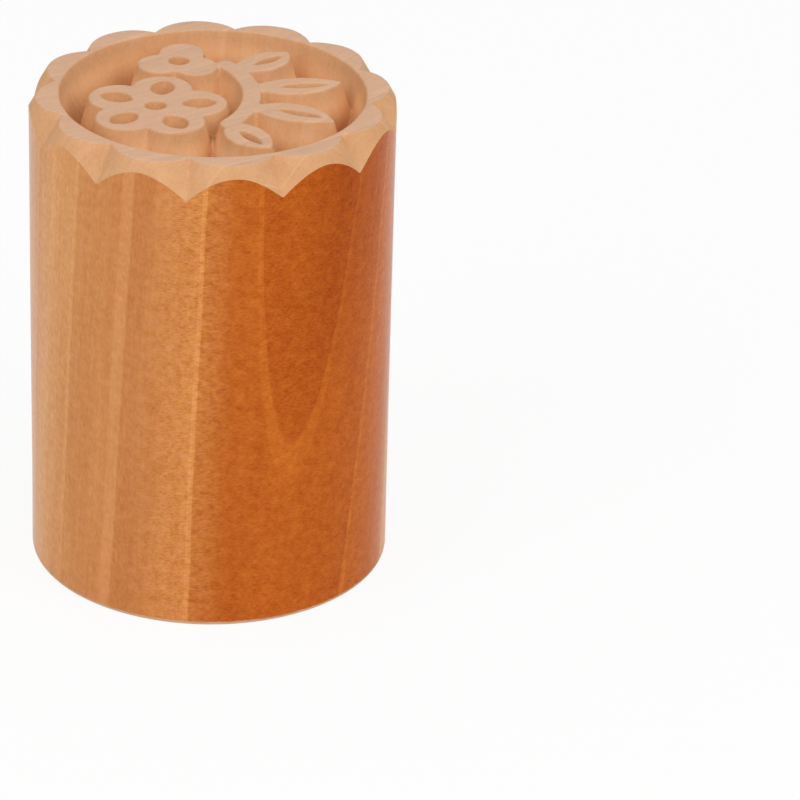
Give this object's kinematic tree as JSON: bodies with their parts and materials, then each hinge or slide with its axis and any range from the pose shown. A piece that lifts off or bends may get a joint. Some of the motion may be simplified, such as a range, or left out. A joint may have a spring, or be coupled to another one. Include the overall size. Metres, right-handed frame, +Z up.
{
  "type": "wooden mooncake mold",
  "caption": "Round hardwood pastry stamp with a scalloped rim, a bowl-shaped recess and a carved blossom-and-leaf relief.",
  "frame": {"origin": "centre of the flat base", "axes": "+Z up along the turned body, from the base to the carved head; +Y points from the foot of the ornament to its top"},
  "size_m": [0.04, 0.04, 0.0555],
  "materials": {
    "wood": "satin"
  },
  "bodies": {
    "root": {"mold": "wood"}
  },
  "joints": []
}
